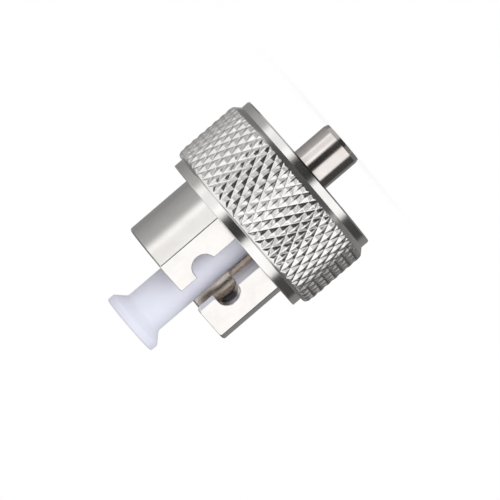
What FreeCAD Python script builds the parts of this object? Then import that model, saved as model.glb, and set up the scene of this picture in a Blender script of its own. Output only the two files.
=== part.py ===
import FreeCAD
import Part
import math
import os

# Fibre adapter with a knurled coupling collar, all sizes in millimetres.
# The adapter's axis is +Z and z = 0 is the collar's port-side face.
# The barrel and its cap point to +Z, the sleeve tube to -Z, and the barrel's flat faces -Y.

# Collar, outside
collar_length = 10.05
rear_rim_r = 9.35
rear_rim_length = 0.97
rear_rim_edge = 0.15
front_lip_r = 9.28
front_lip_length = 1.03
front_lip_edge = 0.10

# Diamond knurl between the rim and the lip
knurl_count = 60
knurl_rows = 7
knurl_first_row_z = 2.12
knurl_row_height = 0.95
knurl_tip_r = 10.05
knurl_root_r = 9.83
knurl_runout_r = 9.95
knurl_low_runout_z = 1.62
knurl_high_runout_z = 8.45
knurl_chamfer_r = 9.38
knurl_round_r = 9.86
knurl_round_z = 8.76
knurl_shoulder_r = 9.60

# Collar, inside
recess_r = 8.0
recess_lead_in = 0.40
shoulder_z = 7.25
shoulder_bore_r = 7.40
ring_groove_r = 8.45
ring_groove_z = 4.68
ring_groove_width = 0.62

# Snap ring, seated on the port-side wall of its groove
ring_inner_r = 7.50
ring_thickness = 0.55
ring_gap = 2.2

# Barrel
barrel_r = 7.35
barrel_end_z = 17.64
barrel_edge = 0.15
flange_r = 7.80
flange_z = 5.45
flange_thickness = 1.70
bore_r = 3.55
mouth_r = 4.45
mouth_z = 12.95
mouth_edge = 0.20
web_front_z = 8.60
flat_offset = 5.28
flat_start_z = 9.80
flat_edge_break = 0.06

# Stepped key slot through the flat
throat_width = 3.06
throat_corner_r = 0.27
throat_root_r = 0.15
cross_slot_width = 2.57
cross_slot_length = 6.57
cross_slot_z = 14.22
rear_slot_width = 4.13
rear_slot_corner_r = 0.12

# Sleeve tube, pressed into the web from the port side
tube_r = 2.45
tube_end_z = -4.58
tube_chamfer_length = 0.43
tube_chamfer_depth = 0.13
tube_flange_r = 3.20
tube_flange_thickness = 0.90
tube_seat_z = 0.70
lead_in_r = 1.45
lead_in_cone = 0.35

# Ferrule guide, pressed into the web from the barrel side
guide_r = 1.95
guide_end_z = 12.60
guide_lip = 0.40
guide_base_r = 3.10
guide_base_z = 7.40
guide_edge = 0.15

# Split sleeve for 2.5 mm ferrules, standing on the tube's inner seat
sleeve_outer_r = 1.60
sleeve_inner_r = 1.25
sleeve_length = 11.40
sleeve_slit = 0.45
sleeve_cavity_r = 1.65

# Dust cap
cap_r = 2.35
cap_bore_r = 1.98
cap_start_z = 8.65
cap_bore_end_z = 20.5
cap_cone_z = 22.15
cap_rim_z = 23.20
cap_rim_r = 3.40
cap_end_z = 24.03
cap_rim_edge = 0.20
cap_neck_fillet = 0.60
cap_mouth_edge = 0.12

# Cutting tools reach this far past the metal, and places closer than same_place are one
overrun = 1.0
same_place = 1e-6


def cylinder(radius, z_low, z_high):
    return Part.makeCylinder(radius, z_high - z_low, FreeCAD.Vector(0, 0, z_low))


def turned(profile):
    # Solid of revolution from (radius, z) corners, closed back to the first corner.
    corners = [FreeCAD.Vector(radius, 0, z) for radius, z in profile]
    outline = Part.makePolygon(corners + corners[:1])
    return Part.Face(outline).revolve(FreeCAD.Vector(0, 0, 0), FreeCAD.Vector(0, 0, 1), 360)


def slot_block(width, z_low, z_high):
    # Block that cuts from outside the flat in to the axis.
    corner = FreeCAD.Vector(-width / 2, -barrel_r - overrun, z_low)
    return Part.makeBox(width, barrel_r + overrun, z_high - z_low, corner)


def round_edges(shape, radius, chosen):
    return shape.makeFillet(radius, [edge for edge in shape.Edges if chosen(edge)])


def runs_along_y(edge, side_x, z):
    # True for an edge parallel to Y at this height, side_x to either side of the axis.
    box = edge.BoundBox
    parallel = box.XLength < same_place and box.ZLength < same_place
    return parallel and abs(abs(box.XMin) - side_x) < same_place and abs(box.ZMin - z) < same_place


def knurl_band():
    # Each grid point is a groove crossing or a pyramid tip in turn. A cell is split along its groove.
    columns = 2 * knurl_count
    turn = 2 * math.pi / columns
    lip_start_z = collar_length - front_lip_length

    def at(radius, column, z):
        angle = turn * (column % columns)
        return FreeCAD.Vector(radius * math.cos(angle), radius * math.sin(angle), z)

    def crossing(column, row):
        return (column + row) % 2 == 0

    def grid(column, row):
        if row < 0:
            return at(knurl_runout_r, column, knurl_low_runout_z)
        if row == knurl_rows:
            return at(knurl_runout_r, column, knurl_high_runout_z)
        radius = knurl_root_r if crossing(column, row) else knurl_tip_r
        return at(radius, column, knurl_first_row_z + row * knurl_row_height)

    def facet(*corners):
        return Part.Face(Part.makePolygon(list(corners) + [corners[0]]))

    faces = []
    for row in range(-1, knurl_rows):
        for column in range(columns):
            low_left = grid(column, row)
            low_right = grid(column + 1, row)
            high_left = grid(column, row + 1)
            high_right = grid(column + 1, row + 1)
            if crossing(column, row):
                faces.append(facet(low_left, low_right, high_right))
                faces.append(facet(low_left, high_right, high_left))
            else:
                faces.append(facet(low_left, low_right, high_left))
                faces.append(facet(low_right, high_right, high_left))

    low_end = [(knurl_runout_r, knurl_low_runout_z), (knurl_chamfer_r, rear_rim_length)]
    high_end = [
        (knurl_runout_r, knurl_high_runout_z),
        (knurl_round_r, knurl_round_z),
        (knurl_shoulder_r, lip_start_z),
    ]
    for rings in (low_end, high_end):
        for (radius, z), (next_radius, next_z) in zip(rings, rings[1:]):
            for column in range(columns):
                near = [at(radius, column, z), at(radius, column + 1, z)]
                far = [at(next_radius, column + 1, next_z), at(next_radius, column, next_z)]
                faces.append(facet(*near, *far))
        end_radius, end_z = rings[-1]
        faces.append(facet(*[at(end_radius, column, end_z) for column in range(columns)]))
    shell = Part.makeShell(faces)
    shell.sewShape()
    return Part.makeSolid(Part.Shell(shell.Faces))


def knurled_collar():
    rear_rim = turned([
        (0, 0),
        (rear_rim_r - rear_rim_edge, 0),
        (rear_rim_r, rear_rim_edge),
        (rear_rim_r, rear_rim_length),
        (0, rear_rim_length),
    ])
    lip_start_z = collar_length - front_lip_length
    front_lip = turned([
        (0, lip_start_z),
        (front_lip_r, lip_start_z),
        (front_lip_r, collar_length - front_lip_edge),
        (front_lip_r - front_lip_edge, collar_length),
        (0, collar_length),
    ])
    groove_end_z = ring_groove_z + ring_groove_width
    inside = turned([
        (0, -overrun),
        (recess_r + recess_lead_in + overrun, -overrun),
        (recess_r, recess_lead_in),
        (recess_r, ring_groove_z),
        (ring_groove_r, ring_groove_z),
        (ring_groove_r, groove_end_z),
        (recess_r, groove_end_z),
        (recess_r, shoulder_z),
        (shoulder_bore_r, shoulder_z),
        (shoulder_bore_r, collar_length + overrun),
        (0, collar_length + overrun),
    ])
    return knurl_band().fuse([rear_rim, front_lip]).cut(inside)


def snap_ring():
    low_z = ring_groove_z
    high_z = low_z + ring_thickness
    ring = cylinder(ring_groove_r, low_z, high_z).cut(cylinder(ring_inner_r, low_z, high_z))
    gap_corner = FreeCAD.Vector(-ring_gap / 2, 0, low_z)
    return ring.cut(Part.makeBox(ring_gap, ring_groove_r + overrun, ring_thickness, gap_corner))


def keyed_barrel():
    flange_top_z = flange_z + flange_thickness
    body = turned([
        (0, flange_z),
        (flange_r, flange_z),
        (flange_r, flange_top_z),
        (barrel_r, flange_top_z),
        (barrel_r, barrel_end_z - barrel_edge),
        (barrel_r - barrel_edge, barrel_end_z),
        (0, barrel_end_z),
    ])
    flat_corner = FreeCAD.Vector(-barrel_r - overrun, -flat_offset - barrel_r, flat_start_z)
    flat_height = barrel_end_z + overrun - flat_start_z
    body = body.cut(Part.makeBox(2 * (barrel_r + overrun), barrel_r, flat_height, flat_corner))
    bore = turned([
        (0, web_front_z),
        (bore_r, web_front_z),
        (bore_r, mouth_z),
        (mouth_r, mouth_z),
        (mouth_r, barrel_end_z - mouth_edge),
        (mouth_r + mouth_edge + overrun, barrel_end_z + overrun),
        (0, barrel_end_z + overrun),
    ])
    guide_seat = cylinder(guide_base_r, guide_base_z, web_front_z)
    tube_hole = cylinder(tube_r, flange_z, guide_base_z)
    body = body.cut([bore, guide_seat, tube_hole]).cut(key_slot())

    def is_throat_corner(edge):
        return runs_along_y(edge, throat_width / 2, barrel_end_z)

    def is_flat_outline(edge):
        box = edge.BoundBox
        on_flat = abs(box.YMin + flat_offset) < same_place and box.YLength < same_place
        return on_flat and box.ZMax > flat_start_z + same_place

    body = round_edges(body, throat_corner_r, is_throat_corner)
    return body.makeChamfer(flat_edge_break, [edge for edge in body.Edges if is_flat_outline(edge)])


def key_slot():
    cross_low_z = cross_slot_z - cross_slot_width / 2
    cross_high_z = cross_slot_z + cross_slot_width / 2
    end_r = cross_slot_width / 2
    end_x = cross_slot_length / 2 - end_r
    throat = slot_block(throat_width, cross_slot_z, barrel_end_z + overrun)
    rear_slot = slot_block(rear_slot_width, flat_start_z, cross_slot_z)
    cross = slot_block(2 * end_x, cross_low_z, cross_high_z)
    ends = []
    for x in (-end_x, end_x):
        start = FreeCAD.Vector(x, -barrel_r - overrun, cross_slot_z)
        ends.append(Part.makeCylinder(end_r, barrel_r + overrun, start, FreeCAD.Vector(0, 1, 0)))
    slot = throat.fuse([rear_slot, cross] + ends).removeSplitter()
    corner_z = cross_slot_z - math.sqrt(end_r ** 2 - (rear_slot_width / 2 - end_x) ** 2)

    def is_throat_root(edge):
        return runs_along_y(edge, throat_width / 2, cross_high_z)

    def is_rear_corner(edge):
        return runs_along_y(edge, rear_slot_width / 2, corner_z)

    slot = round_edges(slot, throat_root_r, is_throat_root)
    return round_edges(slot, rear_slot_corner_r, is_rear_corner)


def sleeve_tube():
    flange_start_z = flange_z - tube_flange_thickness
    return turned([
        (lead_in_r + lead_in_cone, tube_end_z),
        (tube_r - tube_chamfer_depth, tube_end_z),
        (tube_r, tube_end_z + tube_chamfer_length),
        (tube_r, flange_start_z),
        (tube_flange_r, flange_start_z),
        (tube_flange_r, flange_z),
        (tube_r, flange_z),
        (tube_r, guide_base_z),
        (sleeve_cavity_r, guide_base_z),
        (sleeve_cavity_r, tube_seat_z),
        (lead_in_r, tube_seat_z),
        (lead_in_r, tube_end_z + lead_in_cone),
    ])


def ferrule_guide():
    lip_z = guide_end_z - guide_lip
    return turned([
        (sleeve_cavity_r, guide_base_z),
        (guide_base_r, guide_base_z),
        (guide_base_r, web_front_z),
        (guide_r, web_front_z),
        (guide_r, guide_end_z - guide_edge),
        (guide_r - guide_edge, guide_end_z),
        (lead_in_r, guide_end_z),
        (lead_in_r, lip_z),
        (sleeve_cavity_r, lip_z),
    ])


def split_sleeve():
    low_z = tube_seat_z
    high_z = low_z + sleeve_length
    sleeve = cylinder(sleeve_outer_r, low_z, high_z).cut(cylinder(sleeve_inner_r, low_z, high_z))
    slit_corner = FreeCAD.Vector(-sleeve_slit / 2, 0, low_z)
    return sleeve.cut(Part.makeBox(sleeve_slit, sleeve_outer_r + overrun, sleeve_length, slit_corner))


def dust_cap():
    body = turned([
        (0, cap_bore_end_z),
        (cap_bore_r, cap_bore_end_z),
        (cap_bore_r, cap_start_z + cap_mouth_edge),
        (cap_bore_r + cap_mouth_edge, cap_start_z),
        (cap_r, cap_start_z),
        (cap_r, cap_cone_z),
        (cap_rim_r, cap_rim_z),
        (cap_rim_r, cap_end_z),
        (0, cap_end_z),
    ])

    def is_neck(edge):
        return abs(edge.BoundBox.ZMin - cap_cone_z) < same_place and edge.BoundBox.ZLength < same_place

    def is_rim_edge(edge):
        flat_ring = edge.BoundBox.ZLength < same_place
        return flat_ring and edge.BoundBox.ZMin > cap_rim_z - same_place

    body = round_edges(body, cap_neck_fillet, is_neck)
    return round_edges(body, cap_rim_edge, is_rim_edge)


pieces = {
    "keyed_barrel": keyed_barrel(),
    "knurled_collar": knurled_collar(),
    "snap_ring": snap_ring(),
    "sleeve_tube": sleeve_tube(),
    "ferrule_guide": ferrule_guide(),
    "split_sleeve": split_sleeve(),
    "dust_cap": dust_cap(),
}
os.makedirs("parts", exist_ok=True)
for name, shape in pieces.items():
    solid = shape.Solids[0]
    print(name, len(shape.Solids), shape.isValid(), round(solid.Volume, 3), len(solid.Faces))
    solid.exportStep(f"parts/{name}.step")
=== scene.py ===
import bpy
import bmesh
import math
from mathutils import Matrix, Vector, noise


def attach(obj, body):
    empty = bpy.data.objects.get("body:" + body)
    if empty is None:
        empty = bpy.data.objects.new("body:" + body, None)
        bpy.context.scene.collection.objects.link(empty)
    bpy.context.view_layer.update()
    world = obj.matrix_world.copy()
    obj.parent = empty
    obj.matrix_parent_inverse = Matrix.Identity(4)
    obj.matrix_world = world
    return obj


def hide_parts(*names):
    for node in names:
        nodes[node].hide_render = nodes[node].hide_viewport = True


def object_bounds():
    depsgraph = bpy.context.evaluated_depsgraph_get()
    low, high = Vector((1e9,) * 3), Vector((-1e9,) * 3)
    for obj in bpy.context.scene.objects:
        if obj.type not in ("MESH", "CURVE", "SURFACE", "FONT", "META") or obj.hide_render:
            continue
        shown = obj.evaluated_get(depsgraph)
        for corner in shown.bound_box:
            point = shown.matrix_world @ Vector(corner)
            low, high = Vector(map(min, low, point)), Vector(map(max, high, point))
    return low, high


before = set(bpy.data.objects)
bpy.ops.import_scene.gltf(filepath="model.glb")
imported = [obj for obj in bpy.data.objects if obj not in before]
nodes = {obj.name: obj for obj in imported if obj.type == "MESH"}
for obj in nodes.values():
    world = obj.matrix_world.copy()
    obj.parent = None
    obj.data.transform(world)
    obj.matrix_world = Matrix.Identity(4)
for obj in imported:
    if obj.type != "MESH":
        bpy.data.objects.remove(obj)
cadLow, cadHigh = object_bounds()
mm = 0.001
print("frame loaded:", len(nodes), "pieces")


def addToScene(name, data):
    made = bpy.data.objects.new(name, data)
    bpy.context.scene.collection.objects.link(made)
    return made


# Camera at the photograph's viewing angle: square to the axis, rolled so that the cap points down left
cameraSet = {
    "azimuth": 25.1,              # degrees round the axis from the barrel's flat
    "axisTilt": 40.6,             # degrees that the axis leans in the picture
    "lookUp": 7.09 * mm,          # point of the axis looked at
    "distance": 345 * mm,
    "lens": 244.5,
    "sensor": 36,
    "clip": (0.01, 10),
    "shift": (-0.0117, -0.0666),  # the photograph's framing
}


def makeCamera():
    turn = math.radians(cameraSet["azimuth"])
    tilt = math.radians(cameraSet["axisTilt"])
    axis = Vector((0, 0, 1))
    aside = Vector((-math.cos(turn), -math.sin(turn), 0))
    back = Vector((math.sin(turn), -math.cos(turn), 0))
    right = aside * math.sin(tilt) - axis * math.cos(tilt)
    up = -axis * math.sin(tilt) - aside * math.cos(tilt)
    data = bpy.data.cameras.new("photoCamera")
    data.lens = cameraSet["lens"]
    data.sensor_width = cameraSet["sensor"]
    data.shift_x, data.shift_y = cameraSet["shift"]
    data.clip_start, data.clip_end = cameraSet["clip"]
    camera = addToScene("photoCamera", data)
    place = Matrix((right, up, back)).transposed().to_4x4()
    place.translation = axis * cameraSet["lookUp"] + back * cameraSet["distance"]
    camera.matrix_world = place
    bpy.context.scene.camera = camera


makeCamera()
print("camera set")


# Small helpers for node trees
def addNode(tree, kind, x, y, **settings):
    made = tree.nodes.new(kind)
    made.location = (x, y)
    for key, value in settings.items():
        setattr(made, key, value)
    return made


# A socket takes a link, a colour or a plain number
def feed(tree, value, socket):
    if isinstance(value, bpy.types.NodeSocket):
        tree.links.new(value, socket)
    elif isinstance(value, tuple):
        socket.default_value = (*value, 1)
    else:
        socket.default_value = value


def mathNode(tree, operation, first, second, x, y):
    made = addNode(tree, "ShaderNodeMath", x, y, operation=operation)
    feed(tree, first, made.inputs[0])
    feed(tree, second, made.inputs[1])
    return made.outputs[0]


def noiseNode(tree, vector, x, y, **values):
    made = addNode(tree, "ShaderNodeTexNoise", x, y)
    tree.links.new(vector, made.inputs["Vector"])
    for key, value in values.items():
        feed(tree, value, made.inputs[key])
    return made.outputs["Fac"]


def rangeNode(tree, value, x, y, interpolation="LINEAR", **limits):
    made = addNode(tree, "ShaderNodeMapRange", x, y, interpolation_type=interpolation)
    tree.links.new(value, made.inputs["Value"])
    for key, limit in limits.items():
        made.inputs[key.replace("_", " ")].default_value = limit
    return made.outputs["Result"]


def mixNode(tree, kind, mask, under, over, x, y):
    made = addNode(tree, "ShaderNodeMix", x, y, data_type=kind)
    feed(tree, under, made.inputs["A"])
    feed(tree, over, made.inputs["B"])
    tree.links.new(mask, made.inputs["Factor"])
    return made.outputs["Result"]


def bumpNode(tree, height, strength, depth, x, y):
    made = addNode(tree, "ShaderNodeBump", x, y)
    made.inputs["Strength"].default_value = strength
    made.inputs["Distance"].default_value = depth * mm
    tree.links.new(height, made.inputs["Height"])
    return made


def splitPlace(tree, x, y):
    place = addNode(tree, "ShaderNodeTexCoord", x, y)
    split = addNode(tree, "ShaderNodeSeparateXYZ", x + 180, y)
    tree.links.new(place.outputs["Object"], split.inputs[0])
    return split


def axisRadius(tree, split, x, y):
    flat = addNode(tree, "ShaderNodeCombineXYZ", x, y)
    for name in ("X", "Y"):
        tree.links.new(split.outputs[name], flat.inputs[name])
    radius = addNode(tree, "ShaderNodeVectorMath", x + 180, y, operation="LENGTH")
    tree.links.new(flat.outputs[0], radius.inputs[0])
    return radius.outputs["Value"]


def newGroup(name, inputs, outputs):
    group = bpy.data.node_groups.new(name, "ShaderNodeTree")
    for socketName, default in inputs.items():
        socket = group.interface.new_socket(socketName, in_out="INPUT", socket_type="NodeSocketFloat")
        socket.default_value = default
    for socketName in outputs:
        group.interface.new_socket(socketName, in_out="OUTPUT", socket_type="NodeSocketFloat")
    start = addNode(group, "NodeGroupInput", -900, 0)
    end = addNode(group, "NodeGroupOutput", 700, 0)
    return group, start, end


# Lathe feed lines: noise that changes along the axis and the radius, and hardly round the turn
latheSet = {
    "pitch": 0.08, "waver": 0.25,
    "detail": 3.0, "roughness": 0.65,
    "broadScale": 0.23, "broadDetail": 2.0,
}


def turningGroup():
    inputs = {"Pitch mm": latheSet["pitch"], "Waver": latheSet["waver"]}
    group, start, end = newGroup("lathe lines", inputs, ["Height", "Streak"])
    split = splitPlace(group, -900, -250)
    radius = axisRadius(group, split, -540, -380)
    perMm = mathNode(group, "DIVIDE", 1 / mm, start.outputs["Pitch mm"], -700, 100)
    angle = mathNode(group, "ARCTAN2", split.outputs["Y"], split.outputs["X"], -360, -560)
    lines = addNode(group, "ShaderNodeCombineXYZ", 0, -200)
    for name, value, scale, y in (
        ("X", split.outputs["Z"], perMm, -200),
        ("Y", radius, perMm, -360),
        ("Z", angle, start.outputs["Waver"], -560),
    ):
        feed(group, mathNode(group, "MULTIPLY", value, scale, -180, y), lines.inputs[name])
    fine = noiseNode(group, lines.outputs[0], 200, -100, Scale=1.0, Detail=latheSet["detail"],
                     Roughness=latheSet["roughness"])
    broad = noiseNode(group, lines.outputs[0], 200, -400, Scale=latheSet["broadScale"],
                      Detail=latheSet["broadDetail"])
    group.links.new(fine, end.inputs["Height"])
    group.links.new(broad, end.inputs["Streak"])
    return group


# Handling film: soft blotches
filmSet = {"blotch": 2.4, "detail": 4.0, "roughness": 0.6, "thin": 0.36, "thick": 0.68}


def filmGroup():
    group, start, end = newGroup("handling film", {"Blotch mm": filmSet["blotch"]}, ["Film"])
    place = addNode(group, "ShaderNodeTexCoord", -900, -250)
    perMm = mathNode(group, "DIVIDE", 1 / mm, start.outputs["Blotch mm"], -620, 150)
    cloud = noiseNode(group, place.outputs["Object"], -400, 150, Scale=perMm, Detail=filmSet["detail"],
                      Roughness=filmSet["roughness"])
    film = rangeNode(group, cloud, -150, 150, From_Min=filmSet["thin"], From_Max=filmSet["thick"])
    group.links.new(film, end.inputs["Film"])
    return group


# Plated grain: a fine even pebble
grainSet = {"size": 0.05, "detail": 2.5}


def grainGroup():
    group, start, end = newGroup("plated grain", {"Grain mm": grainSet["size"]}, ["Height"])
    place = addNode(group, "ShaderNodeTexCoord", -900, -250)
    perMm = mathNode(group, "DIVIDE", 1 / mm, start.outputs["Grain mm"], -620, 100)
    pebble = noiseNode(group, place.outputs["Object"], -300, 0, Scale=perMm, Detail=grainSet["detail"])
    group.links.new(pebble, end.inputs["Height"])
    return group


latheLines = turningGroup()
handlingFilm = filmGroup()
platedGrain = grainGroup()


def placeGroup(tree, group, x, y, **values):
    made = addNode(tree, "ShaderNodeGroup", x, y, node_tree=group)
    for key, value in values.items():
        made.inputs[key.replace("_", " ")].default_value = value
    return made


def newMaterial(name):
    material = bpy.data.materials.new(name)
    material.use_nodes = True
    material.node_tree.nodes.clear()
    out = addNode(material.node_tree, "ShaderNodeOutputMaterial", 900, 0)
    return material, material.node_tree, out


def newSurface(name):
    material, tree, out = newMaterial(name)
    shader = addNode(tree, "ShaderNodeBsdfPrincipled", 600, 0)
    tree.links.new(shader.outputs[0], out.inputs[0])
    return material, tree, shader


# Metals: one recipe, a dictionary for each finish, with pitches, depths and grain in millimetres
metalFinishes = {
    "barrelNickel": {
        "clean": (0.84, 0.82, 0.80), "dull": (0.79, 0.765, 0.74),
        "smooth": 0.17, "rough": 0.24,
        "linePitch": 0.07, "lineDepth": 0.006, "grainDepth": 0.004, "grainSize": 0.05,
    },
    "collarNickel": {
        "clean": (0.84, 0.825, 0.81), "dull": (0.78, 0.76, 0.74),
        "smooth": 0.16, "rough": 0.25,
        "linePitch": 0.06, "lineDepth": 0.002, "grainDepth": 0.002, "grainSize": 0.06,
    },
    "tubeSteel": {
        "clean": (0.78, 0.733, 0.705), "dull": (0.70, 0.65, 0.622),
        "smooth": 0.15, "rough": 0.22,
        "linePitch": 0.05, "lineDepth": 0.0012, "grainDepth": 0.0012, "grainSize": 0.05,
    },
    "springSteel": {
        "clean": (0.40, 0.40, 0.42), "dull": (0.30, 0.30, 0.32),
        "smooth": 0.30, "rough": 0.42,
        "linePitch": 0.05, "lineDepth": 0.008, "grainDepth": 0.010, "grainSize": 0.05,
    },
    "sleeveBronze": {
        "clean": (0.78, 0.57, 0.36), "dull": (0.66, 0.46, 0.28),
        "smooth": 0.18, "rough": 0.28,
        "linePitch": 0.04, "lineDepth": 0.006, "grainDepth": 0.006, "grainSize": 0.05,
    },
}
metalBump = {"lines": 0.6, "grain": 0.5}


# Inside the barrel: a smooth reamed bore with painted shade (a darker, browner tint on its wall), and a
# near-black painted shade in the pocket where the cross slot's cutter broke into it
boreShadeAndGloss = {
    "boreR": 4.47, "boreTint": (0.76, 0.72, 0.685), "boreRough": 0.12,
    "pocketZ": 14.22, "pocketHalf": 1.30, "pocketAside": 1.90, "pocketDepth": 4.35, "pocketFloor": 1.0,
    "pocketR": 6.2, "pocketTint": (0.16, 0.145, 0.14), "pocketRough": 0.16,
    "edge": 0.10, "asideEdge": 0.30,
}


# Rises from 0 at start to 1 at end, both in millimetres
def softStep(tree, value, start, end, x, y):
    return rangeNode(tree, value, x, y, "SMOOTHSTEP", From_Min=start * mm, From_Max=end * mm)


# Painted shade: mixes a darker, browner tint into the bore wall and a near-black tint into the cross
# slot's pocket, by where they lie, together with their own roughness
def shadeBoreAndPocket(tree, tint, gloss):
    edge = boreShadeAndGloss["edge"]
    half = boreShadeAndGloss["pocketHalf"]
    aside = boreShadeAndGloss["pocketAside"]
    depth = boreShadeAndGloss["pocketDepth"]
    split = splitPlace(tree, -1300, 700)
    radius = axisRadius(tree, split, -900, 900)
    sideways = mathNode(tree, "ABSOLUTE", split.outputs["X"], 0, -900, 700)
    fromPocket = mathNode(tree, "SUBTRACT", split.outputs["Z"], boreShadeAndGloss["pocketZ"] * mm, -900, 560)
    along = mathNode(tree, "ABSOLUTE", fromPocket, 0, -720, 560)
    bore = softStep(tree, radius, boreShadeAndGloss["boreR"] + edge, boreShadeAndGloss["boreR"], -500, 900)
    pocket = softStep(tree, sideways, aside - boreShadeAndGloss["asideEdge"], aside, -500, 740)
    limits = [
        softStep(tree, along, half + edge, half, -500, 580),
        softStep(tree, split.outputs["Y"], -depth - edge, -depth, -500, 420),
        softStep(tree, split.outputs["Y"], -edge, -boreShadeAndGloss["pocketFloor"], -500, 260),
        softStep(tree, radius, boreShadeAndGloss["pocketR"] + edge, boreShadeAndGloss["pocketR"], -500, 100),
    ]
    for k, limit in enumerate(limits):
        pocket = mathNode(tree, "MULTIPLY", pocket, limit, -300 + 120 * k, 700)
    # painted shade: bore and pocket tints laid over the metal's own colour
    for name, mask, x in (("bore", bore, 0), ("pocket", pocket, 200)):
        tint = mixNode(tree, "RGBA", mask, tint, boreShadeAndGloss[name + "Tint"], x, 500)
        gloss = mixNode(tree, "FLOAT", mask, gloss, boreShadeAndGloss[name + "Rough"], x, 250)
    return tint, gloss


def makeMetal(name):
    look = metalFinishes[name]
    material, tree, shader = newSurface(name)
    film = placeGroup(tree, handlingFilm, -700, 200).outputs["Film"]
    lines = placeGroup(tree, latheLines, -700, -150, Pitch_mm=look["linePitch"])
    grain = placeGroup(tree, platedGrain, -700, -400, Grain_mm=look["grainSize"])
    tint = mixNode(tree, "RGBA", film, look["clean"], look["dull"], -300, 300)
    worn = mathNode(tree, "MULTIPLY", film, lines.outputs["Streak"], -500, 60)
    gloss = rangeNode(tree, worn, -300, 60, To_Min=look["smooth"], To_Max=look["rough"])
    # painted shade inside the barrel's bore and cross-slot pocket
    if name == "barrelNickel":
        tint, gloss = shadeBoreAndPocket(tree, tint, gloss)
    tree.links.new(tint, shader.inputs["Base Color"])
    tree.links.new(gloss, shader.inputs["Roughness"])
    ridges = bumpNode(tree, lines.outputs["Height"], metalBump["lines"], look["lineDepth"], 0, -200)
    pebble = bumpNode(tree, grain.outputs["Height"], metalBump["grain"], look["grainDepth"], 250, -250)
    tree.links.new(ridges.outputs["Normal"], pebble.inputs["Normal"])
    tree.links.new(pebble.outputs["Normal"], shader.inputs["Normal"])
    shader.inputs["Metallic"].default_value = 1.0
    return material


# White moulded cap: soft bluish plastic that lets a little light through (millimetres)
capLook = {
    "clean": (0.73, 0.74, 0.845), "dull": (0.70, 0.71, 0.81),
    "smooth": 0.42, "rough": 0.58, "blotch": 3.0,
    "skin": 0.06, "skinDepth": 0.015, "skinBump": 0.4,
    "through": 0.06, "throughDepth": 0.4, "throughSpread": (1.0, 1.0, 1.1),
}


def makeCapPlastic():
    material, tree, shader = newSurface("capPlastic")
    film = placeGroup(tree, handlingFilm, -700, 200, Blotch_mm=capLook["blotch"]).outputs["Film"]
    skin = placeGroup(tree, platedGrain, -700, -300, Grain_mm=capLook["skin"])
    tint = mixNode(tree, "RGBA", film, capLook["clean"], capLook["dull"], -300, 300)
    gloss = rangeNode(tree, film, -300, 60, To_Min=capLook["smooth"], To_Max=capLook["rough"])
    pebble = bumpNode(tree, skin.outputs["Height"], capLook["skinBump"], capLook["skinDepth"], 250, -250)
    tree.links.new(tint, shader.inputs["Base Color"])
    tree.links.new(gloss, shader.inputs["Roughness"])
    tree.links.new(pebble.outputs["Normal"], shader.inputs["Normal"])
    shader.inputs["Subsurface Weight"].default_value = capLook["through"]
    shader.inputs["Subsurface Radius"].default_value = capLook["throughSpread"]
    shader.inputs["Subsurface Scale"].default_value = capLook["throughDepth"] * mm
    return material


materials = {name: makeMetal(name) for name in metalFinishes}
materials["capPlastic"] = makeCapPlastic()
print("materials made:", len(materials))

dressed = {
    "keyed_barrel": "barrelNickel",
    "ferrule_guide": "barrelNickel",
    "sleeve_tube": "tubeSteel",
    "snap_ring": "springSteel",
    "split_sleeve": "sleeveBronze",
    "dust_cap": "capPlastic",
}
for nodeName, materialName in dressed.items():
    nodes[nodeName].data.materials.clear()
    nodes[nodeName].data.materials.append(materials[materialName])
print("solids dressed:", len(dressed))


# Knurled collar, turned from one profile, with the knurl and the coupling thread cut in (millimetres)
collar = {
    "length": 10.05, "boreR": 7.40, "boreEdge": 0.12,
    "lipR": 9.28, "lipLength": 1.03, "lipEdge": 0.09, "lipSteps": 6,
    "rimR": 9.35, "rimLength": 0.97, "rimEdge": 0.15, "rimDrop": 0.09, "rimBreak": 0.012,
    "chamferTop": 1.65, "chamferSlope": 1.015, "chamferRound": 0.08,  # tube-side end of the knurl
    "shoulderR": 9.58, "shoulderRound": 1.05,                         # barrel-side end of the knurl
    "count": 58, "steps": 8, "halfRow": 0.95, "firstRow": 2.12, "turnPhase": 1.25,
    "tipR": 10.05, "rootR": 9.868, "land": 0.84,                      # land as a share of the way up
    "grooveFloor": 0.056, "grooveSlope": 0.55,                        # grooves open out at the bottom
    "ridgeRound": 0.42, "ridgeLeast": 0.02, "landRound": 0.12, "endRound": 0.012,
    "burr": 0.016, "burrRound": 34, "burrAlong": 3.4,                 # unevenness, and how fine it is
    "recessR": 8.0, "leadIn": 0.40, "shoulderZ": 7.25,
    "ringGrooveR": 8.45, "ringGrooveZ": 4.68, "ringGrooveWidth": 0.62,
    "threadPitch": 0.75, "threadDepth": 0.38, "threadEnd": 4.20, "threadSteps": 8,
    "threadFlank": 1.25, "threadCrest": 0.12, "threadStart": 2,
    "plainColumns": 232, "sharpAngle": 20,
}
# Rings close to the collar's edges, which keep the faces beside them flat (millimetres)
support = {
    "lip": 0.03, "foot": 0.05,
    "rimOut": 0.01, "rimIn": 0.02,
    "leadOut": 0.03, "leadUp": 0.02,
    "endGap": 0.2,  # share of a step that the knurl's rings keep from its ends
}
knurlColumns = 2 * collar["count"] * collar["steps"]
lipStart = collar["length"] - collar["lipLength"]


# How far a spot is from the two crossing groove families, 0 in a groove and 1 midway to the next
def grooveDistances(turnShare, z):
    across = turnShare * 2 * collar["count"] + collar["turnPhase"]
    along = (z - collar["firstRow"]) / collar["halfRow"]
    return abs((across - along + 1) % 2 - 1), abs((across + along + 1) % 2 - 1)


# The lower of two heights, with a small fillet where they meet
def softLower(first, second, blend):
    gap = max(0, blend - abs(first - second)) / blend
    return min(first, second) - gap * gap * blend / 4


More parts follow.
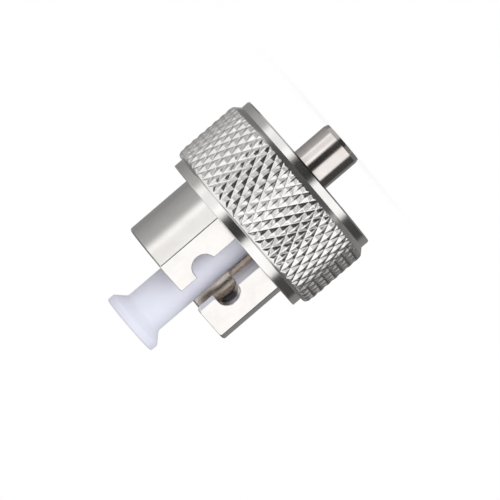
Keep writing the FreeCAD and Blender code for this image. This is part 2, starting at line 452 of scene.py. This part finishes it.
# Open groove bottoms, ridges that round off towards the tips, and a small land on each tip
def toothRadius(turnShare, z):
    rising, falling = grooveDistances(turnShare, z)
    fillet = collar["ridgeRound"] * min(rising, falling) + collar["ridgeLeast"]
    ridge = softLower(rising, falling, fillet)
    slope = max(ridge, collar["grooveFloor"] + collar["grooveSlope"] * ridge)
    height = softLower(slope, collar["land"], collar["landRound"]) / collar["land"]
    return collar["rootR"] + (collar["tipR"] - collar["rootR"]) * height


# Chamfer at one end of the knurl, round shoulder at the other
def endRadius(z):
    fromLip = lipStart - z
    if fromLip < collar["shoulderRound"]:
        share = 1 - fromLip / collar["shoulderRound"]
        rise = collar["tipR"] - collar["shoulderR"]
        return collar["shoulderR"] + rise * math.sqrt(max(0, 1 - share * share))
    below = (collar["chamferTop"] - z) * collar["chamferSlope"]
    return collar["tipR"] - (below + math.hypot(below, 2 * collar["chamferRound"])) / 2


def knurlRadius(share, z, limit):
    turn = 2 * math.pi * share
    fineness = collar["burrRound"]
    spot = Vector((fineness * math.cos(turn), fineness * math.sin(turn), collar["burrAlong"] * z))
    uneven = collar["burr"] * noise.noise(spot)
    return softLower(toothRadius(share, z) + uneven, limit, collar["endRound"])


# Heights of the knurl's rings. Half steps near the ends are turned by half a column, so that the
# grooves stay on mesh edges
def knurlRows():
    lowEnd = collar["rimLength"]
    step = collar["halfRow"] / collar["steps"]
    gap = step * support["endGap"]
    rows = [(lowEnd, 0), (lipStart, 0)]
    count = int((lipStart - lowEnd) / step) + 2
    for k in range(-2 * count, 2 * count):
        z = collar["firstRow"] + k * step / 2
        nearEnd = z > lipStart - collar["shoulderRound"] or z < collar["chamferTop"] + 2 * step
        if lowEnd + gap < z < lipStart - gap and (k % 2 == 0 or nearEnd):
            rows.append((z, k % 2 / 2))
    return sorted(rows, reverse=True)


# A shape is a list of corners and, for each ring, its first corner and how many it has
def addRing(shape, columns, radiusAt, z, shift=0):
    shape["rings"].append((len(shape["corners"]), columns))
    for k in range(columns):
        share = (k + shift) / columns
        turn = 2 * math.pi * share
        radius = radiusAt(share) * mm
        shape["corners"].append((radius * math.cos(turn), radius * math.sin(turn), z * mm))


def addProfile(shape, points):
    for radius, z in points:
        addRing(shape, collar["plainColumns"], lambda share: radius, z)


def addLip(shape):
    top = collar["length"]
    bore = collar["boreR"]
    lip = collar["lipR"]
    edge = collar["lipEdge"]
    addProfile(shape, [(bore, top - collar["boreEdge"]), (bore + collar["boreEdge"], top)])
    addProfile(shape, [(lip - edge - support["lip"], top)])
    for k in range(collar["lipSteps"] + 1):
        turn = math.radians(90 - 90 * k / collar["lipSteps"])
        addProfile(shape, [(lip - edge + edge * math.cos(turn), top - edge + edge * math.sin(turn))])
    addProfile(shape, [(lip, top - edge - support["lip"])])
    addProfile(shape, [(lip, lipStart + support["foot"]), (lip, lipStart)])


def addKnurl(shape, rows):
    for z, shift in rows:
        limit = endRadius(z)
        addRing(shape, knurlColumns, lambda share: knurlRadius(share, z, limit), z, shift)


def addRim(shape):
    rim = collar["rimR"]
    foot = collar["rimLength"]
    edge = collar["rimEdge"]
    face = rim - collar["rimDrop"]
    slip = collar["rimBreak"]
    addProfile(shape, [(rim, foot), (rim, foot - support["foot"]), (rim, edge + support["rimOut"])])
    addProfile(shape, [(rim - slip, edge - slip), (face + slip, slip), (face - support["rimIn"], 0)])


def addRecess(shape):
    recess = collar["recessR"]
    lead = collar["leadIn"]
    pitch = collar["threadPitch"]
    mouth = recess + lead
    addProfile(shape, [(mouth + support["leadOut"], 0), (mouth, support["leadUp"]), (recess, lead)])
    rows = int((collar["threadEnd"] - lead) / pitch * collar["threadSteps"])
    for k in range(1, rows + 1):
        z = lead + (collar["threadEnd"] - lead) * k / rows
        fade = min(1, (rows - k) / collar["threadSteps"], k / collar["threadStart"])

        def threaded(share):
            wave = abs(((z / pitch - share) % 1) * 2 - 1)
            cut = min(1, max(0, wave * collar["threadFlank"] - collar["threadCrest"]))
            return recess + collar["threadDepth"] * cut * fade

        addRing(shape, collar["plainColumns"], threaded, z)
    grooveR = collar["ringGrooveR"]
    grooveZ = collar["ringGrooveZ"]
    grooveEnd = grooveZ + collar["ringGrooveWidth"]
    addProfile(shape, [(recess, grooveZ), (grooveR, grooveZ), (grooveR, grooveEnd), (recess, grooveEnd)])
    addProfile(shape, [(recess, collar["shoulderZ"]), (collar["boreR"], collar["shoulderZ"])])


def knurlFaces(knurlRings, rows):
    faces = []
    for k, ((high, highShift), (low, lowShift)) in enumerate(zip(rows, rows[1:])):
        highFirst = knurlRings[k][0]
        lowFirst = knurlRings[k + 1][0]
        for c in range(knurlColumns):
            n = (c + 1) % knurlColumns
            cell = [lowFirst + c, lowFirst + n, highFirst + n, highFirst + c]
            if highShift == lowShift:
                rising, falling = grooveDistances((c + 0.5) / knurlColumns, (high + low) / 2)
                turned = rising > falling  # split along the nearer groove
            else:
                turned = highShift > lowShift
            if turned:
                cell = cell[1:] + cell[:1]
            faces.append((cell[0], cell[1], cell[2]))
            faces.append((cell[0], cell[2], cell[3]))
    return faces


def spanOf(cell, parts):
    return list(range(cell * parts, (cell + 1) * parts + 1))


# Faces between two rings, of which one may have several times the columns of the other
def bandFaces(ring, nextRing):
    first, count = ring
    second, secondCount = nextRing
    small = min(count, secondCount)
    faces = []
    for c in range(small):
        loop = [first + j % count for j in spanOf(c, count // small)]
        loop += [second + j % secondCount for j in reversed(spanOf(c, secondCount // small))]
        faces.append(loop)
    return faces


def buildCollar():
    shape = {"corners": [], "rings": []}
    rows = knurlRows()
    addLip(shape)
    knurlStart = len(shape["rings"])
    addKnurl(shape, rows)
    knurlEnd = len(shape["rings"])
    addRim(shape)
    addRecess(shape)
    rings = shape["rings"]
    faces = knurlFaces(rings[knurlStart:knurlEnd], rows)
    for k, ring in enumerate(rings):
        if not knurlStart <= k < knurlEnd - 1:
            faces += bandFaces(ring, rings[(k + 1) % len(rings)])
    mesh = bpy.data.meshes.new("knurledCollar")
    mesh.from_pydata(shape["corners"], [], faces)
    work = bmesh.new()
    work.from_mesh(mesh)
    bmesh.ops.recalc_face_normals(work, faces=work.faces)
    work.to_mesh(mesh)
    work.free()
    mesh.shade_smooth()
    mesh.set_sharp_from_angle(angle=math.radians(collar["sharpAngle"]))
    mesh.materials.append(materials["collarNickel"])
    piece = addToScene("collarFine", mesh)
    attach(piece, "collar")
    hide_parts("knurled_collar")
    return piece


collarPiece = buildCollar()
print("collar turned:", len(collarPiece.data.polygons), "faces")


# Studio: pale floor in a white tent
studio = {
    "floorRadius": 200 * mm, "floorSides": 96,
    "floorColour": (0.97, 0.97, 0.97),
    "floorLift": 0.24,                   # what the paper lacks to white in the open
    "floorWhite": 0.85,                  # white share beside the part, rising to 1 further off
    "fadeFrom": 12 * mm, "fadeTo": 60 * mm,
    "tentLight": 0.78,
    "keyAzimuth": 12, "keyHeight": 9 * mm, "keyDistance": 25 * mm, "keySize": 26 * mm, "keyPower": 0.0027,
    "flagRadius": 160 * mm,
    "flagGap": 1 * mm,                   # a later flag stands this much in front
    "flagStep": 3,                       # degrees
}

# Flags and lights round the part that only the metal's reflections see. In degrees: azimuth from and to
# (0 faces the barrel's flat) and elevation from and to, then the brightness, then the soft edges of both
reflectionFlags = {
    "tableGrey": ((52, 240), (-66, -10), 0.55, (8, 8)),
    "tableDeep": ((135, 240), (-66, -9), 0.20, (15, 8)),
    "tableLight": ((-48, 8), (-58, -8), 0.85, (6, 8)),
    "tableNear": ((-50, 10), (-62, -25), 0.22, (6, 6)),
    "keySheet": ((-46, 11), (-14, 46), 1.22, (5, 8)),
    "upperKey": ((51, 68), (-14, 30), 1.30, (5, 8)),
    "upperStrip": ((88, 105), (-16, 14), 1.20, (5, 8)),
    "upperGrey": ((98, 240), (-16, 18), 0.46, (14, 8)),
    "upperDeep": ((110, 240), (-16, 14), 0.28, (60, 8)),
    "upperBack": ((120, 240), (11, 72), 0.22, (15, 8)),
    "lowerGrey": ((-160, -95), (-58, 72), 0.24, (10, 12)),
    "lowerBack": ((-170, -98), (10, 72), 0.14, (6, 10)),
    "lowerSoft": ((-112, -40), (4, 46), 0.40, (12, 12)),
    "lowerShoulder": ((-112, -50), (18, 66), 0.14, (6, 8)),
    "lowerDark": ((-106, -46), (-60, 14), 0.06, (5, 8)),
    "lowerLow": ((-118, -46), (-54, -8), 0.20, (6, 6)),
    "cameraHigh": ((6, 50), (6, 40), 0.70, (10, 8)),
    "cameraSide": ((10, 52), (-14, 12), 0.02, (5, 6)),
    "cameraLow": ((-3, 58), (-62, -8), 0.05, (8, 6)),
    "below": ((-180, 180), (-90, -56), 0.10, (6, 6)),
    "cameraDeep": ((-20, 70), (-74, -44), 0.012, (8, 6)),
    "overhead": ((-180, 180), (62, 90), 0.30, (6, 8)),
}


# What the camera and the reflections see, against what lights the part
def lightPathShare(tree, x, y):
    path = addNode(tree, "ShaderNodeLightPath", x, y)
    camera = path.outputs["Is Camera Ray"]
    seen = mathNode(tree, "MAXIMUM", camera, path.outputs["Is Glossy Ray"], x + 200, y)
    return mathNode(tree, "MAXIMUM", seen, path.outputs["Is Transmission Ray"], x + 400, y)


def mixShaders(tree, share, first, second, out):
    blend = addNode(tree, "ShaderNodeMixShader", 650, 0)
    tree.links.new(share, blend.inputs["Fac"])
    tree.links.new(first.outputs[0], blend.inputs[1])
    tree.links.new(second.outputs[0], blend.inputs[2])
    tree.links.new(blend.outputs[0], out.inputs["Surface"])


def glowNode(tree, kind, strength, x, y):
    made = addNode(tree, kind, x, y)
    made.inputs["Color"].default_value = (1, 1, 1, 1)
    made.inputs["Strength"].default_value = strength
    return made


def makeTent():
    world = bpy.data.worlds.new("whiteTent")
    world.use_nodes = True
    bpy.context.scene.world = world
    tree = world.node_tree
    tree.nodes.clear()
    out = addNode(tree, "ShaderNodeOutputWorld", 900, 0)
    soft = glowNode(tree, "ShaderNodeBackground", studio["tentLight"], 150, -80)
    white = glowNode(tree, "ShaderNodeBackground", 1.0, 150, -240)
    mixShaders(tree, lightPathShare(tree, -500, 150), soft, white, out)


# A soft lamp in front of the slotted flat. The metal shows the flags instead of it
def makeKey():
    data = bpy.data.lights.new("softKey", "AREA")
    data.shape = "DISK"
    data.size = studio["keySize"]
    data.energy = studio["keyPower"]
    key = addToScene("softKey", data)
    turn = math.radians(studio["keyAzimuth"])
    away = Vector((math.sin(turn), -math.cos(turn), 0))
    key.location = away * studio["keyDistance"] + Vector((0, 0, studio["keyHeight"]))
    key.rotation_euler = away.to_track_quat("Z", "Y").to_euler()
    key.visible_glossy = False
    key.visible_camera = False


def makeFloorPaper():
    material, tree, out = newMaterial("paleFloor")
    paper = addNode(tree, "ShaderNodeBsdfDiffuse", 150, -60)
    feed(tree, studio["floorColour"], paper.inputs["Color"])
    lift = glowNode(tree, "ShaderNodeEmission", studio["floorLift"], 150, -320)
    white = glowNode(tree, "ShaderNodeEmission", 1.0, 350, -220)
    lifted = addNode(tree, "ShaderNodeAddShader", 350, -60)
    tree.links.new(paper.outputs[0], lifted.inputs[0])
    tree.links.new(lift.outputs[0], lifted.inputs[1])
    place = addNode(tree, "ShaderNodeTexCoord", -500, 400)
    away = addNode(tree, "ShaderNodeVectorMath", -300, 400, operation="LENGTH")
    tree.links.new(place.outputs["Object"], away.inputs[0])
    fade = rangeNode(tree, away.outputs["Value"], -100, 400, "SMOOTHSTEP", From_Min=studio["fadeFrom"],
                     From_Max=studio["fadeTo"], To_Min=studio["floorWhite"])
    share = mathNode(tree, "MULTIPLY", lightPathShare(tree, -500, 150), fade, 150, 150)
    mixShaders(tree, share, lifted, white, out)
    return material


def makeFloor():
    mesh = bpy.data.meshes.new("paleFloor")
    work = bmesh.new()
    sides = studio["floorSides"]
    bmesh.ops.create_circle(work, cap_ends=True, segments=sides, radius=studio["floorRadius"])
    bmesh.ops.translate(work, verts=work.verts, vec=(0, 0, cadLow.z))
    work.to_mesh(mesh)
    work.free()
    mesh.materials.append(makeFloorPaper())
    floor = addToScene("paleFloor", mesh)
    floor.visible_glossy = False  # reflections show the white tent and the flags instead


# A flag glows where it covers, but not for light that came off a matt surface
def flagMaterial(name, brightness):
    material, tree, out = newMaterial(name)
    cover = addNode(tree, "ShaderNodeAttribute", -250, 200, attribute_name="cover")
    path = addNode(tree, "ShaderNodeLightPath", -500, 0)
    straight = mathNode(tree, "LESS_THAN", path.outputs["Diffuse Depth"], 0.5, -250, 0)
    shown = mathNode(tree, "MULTIPLY", cover.outputs["Fac"], straight, 0, 200)
    clear = addNode(tree, "ShaderNodeBsdfTransparent", 0, 0)
    glow = glowNode(tree, "ShaderNodeEmission", brightness, 0, -150)
    mixShaders(tree, shown, clear, glow, out)
    return material


# 0 at the edges of a flag, rising to 1 inside them
def flagCover(value, low, high, soft):
    nearest = min(value - low, high - value)
    share = min(1, max(0, nearest / soft))
    return share * share * (3 - 2 * share)


def makeFlag(name, azimuths, elevations, brightness, softs, radius):
    fromAzimuth, toAzimuth = azimuths
    fromElevation, toElevation = elevations
    softAzimuth, softElevation = softs
    columns = math.ceil((toAzimuth - fromAzimuth) / studio["flagStep"])
    rows = math.ceil((toElevation - fromElevation) / studio["flagStep"])
    allRound = toAzimuth - fromAzimuth >= 360
    # no soft edge at a pole
    lowEdge = fromElevation - (softElevation if fromElevation <= -90 else 0)
    highEdge = toElevation + (softElevation if toElevation >= 90 else 0)
    centre = Vector((0, 0, cameraSet["lookUp"]))
    corners = []
    cover = []
    for r in range(rows + 1):
        elevation = fromElevation + (toElevation - fromElevation) * r / rows
        height = radius * math.sin(math.radians(elevation))
        level = radius * math.cos(math.radians(elevation))
        for c in range(columns + 1):
            azimuth = fromAzimuth + (toAzimuth - fromAzimuth) * c / columns
            turn = math.radians(azimuth)
            corners.append(centre + Vector((level * math.sin(turn), -level * math.cos(turn), height)))
            aside = 1 if allRound else flagCover(azimuth, fromAzimuth, toAzimuth, softAzimuth)
            cover.append(aside * flagCover(elevation, lowEdge, highEdge, softElevation))
    faces = []
    for r in range(rows):
        for c in range(columns):
            corner = r * (columns + 1) + c
            faces.append((corner, corner + 1, corner + columns + 2, corner + columns + 1))
    mesh = bpy.data.meshes.new(name)
    mesh.from_pydata(corners, [], faces)
    mesh.attributes.new("cover", "FLOAT", "POINT").data.foreach_set("value", cover)
    mesh.materials.append(flagMaterial(name, brightness))
    flag = addToScene(name, mesh)
    flag.visible_camera = False
    flag.visible_diffuse = False
    flag.visible_shadow = False


makeTent()
makeKey()
makeFloor()
for k, (flagName, settings) in enumerate(reflectionFlags.items()):
    makeFlag(flagName, *settings, studio["flagRadius"] - k * studio["flagGap"])
print("studio lit")

bpy.context.scene.view_settings.view_transform = "Standard"
